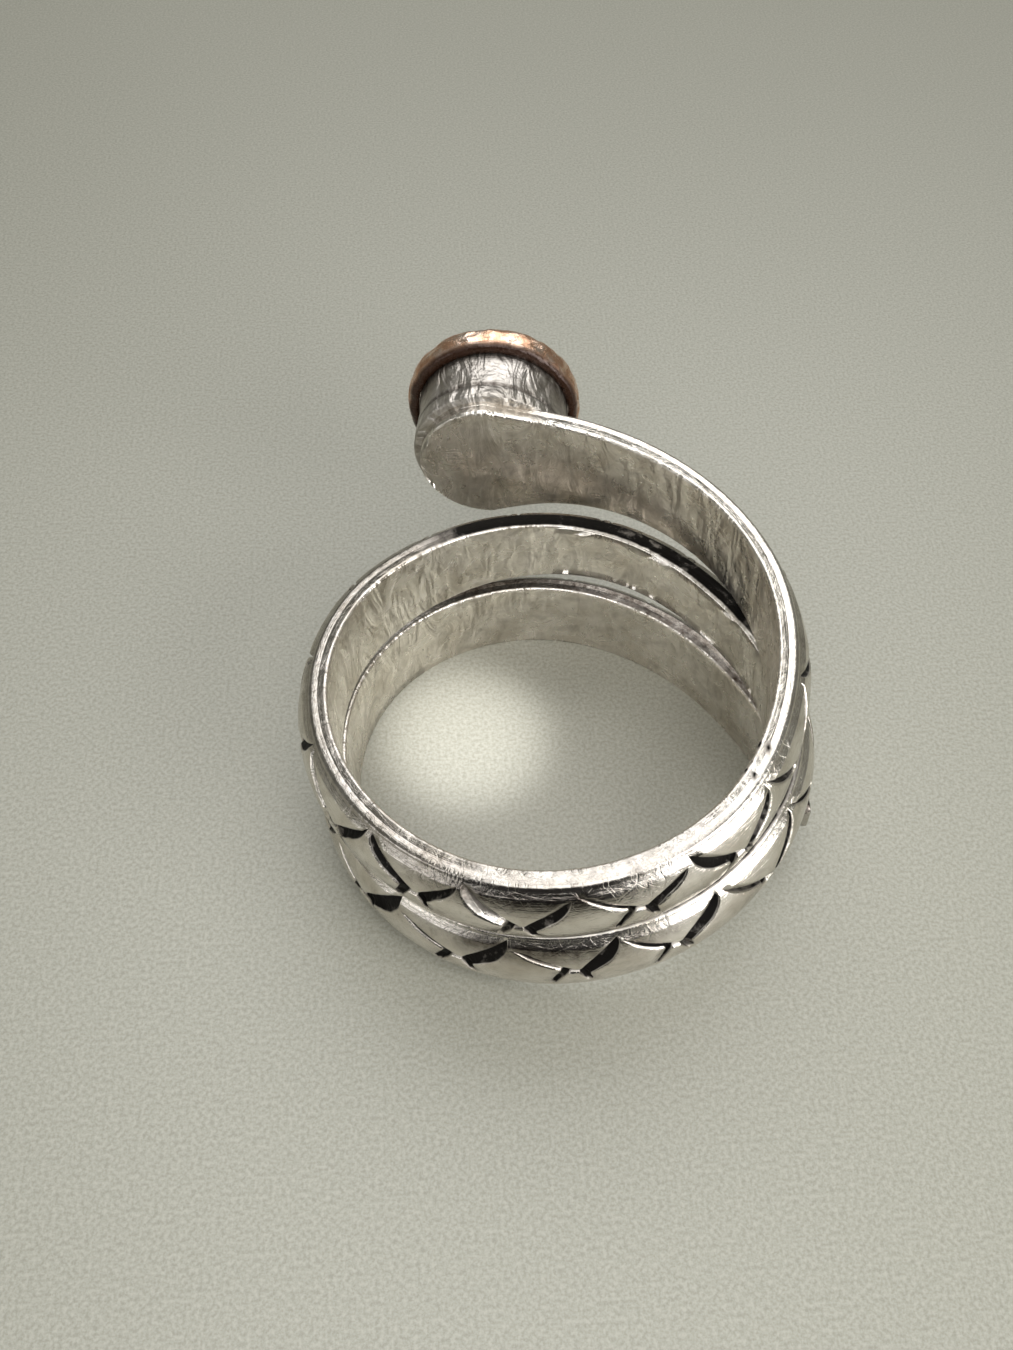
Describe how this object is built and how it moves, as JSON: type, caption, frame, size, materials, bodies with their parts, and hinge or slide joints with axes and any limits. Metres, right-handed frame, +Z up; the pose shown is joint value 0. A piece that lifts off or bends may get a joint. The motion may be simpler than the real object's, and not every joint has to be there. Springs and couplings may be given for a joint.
{
  "type": "coiled snake ring with a turquoise",
  "caption": "Silver snake ring: a scale-cut strip coiled round the finger, its free arm carrying a round turquoise in a copper-rimmed cup",
  "frame": {"origin": "the point where the coil's axis meets the surface that the ring lies on", "axes": "+Z up from that surface, +Y from the finger hole towards the setting, +X to the right; the coil's axis leans 5.5 degrees left and 1.5 degrees to the front of +Z, as the ring lies by itself"},
  "size_m": [0.0222, 0.0278, 0.0142],
  "materials": {
    "silver": "worn, hand-filed sterling silver with dark oxide in the cuts",
    "copper": "hammered copper, darker underneath",
    "turquoise": "polished turquoise with faint brown matrix"
  },
  "bodies": {
    "root": {"band": "silver", "copper_rim": "copper", "turquoise": "turquoise"}
  },
  "joints": []
}
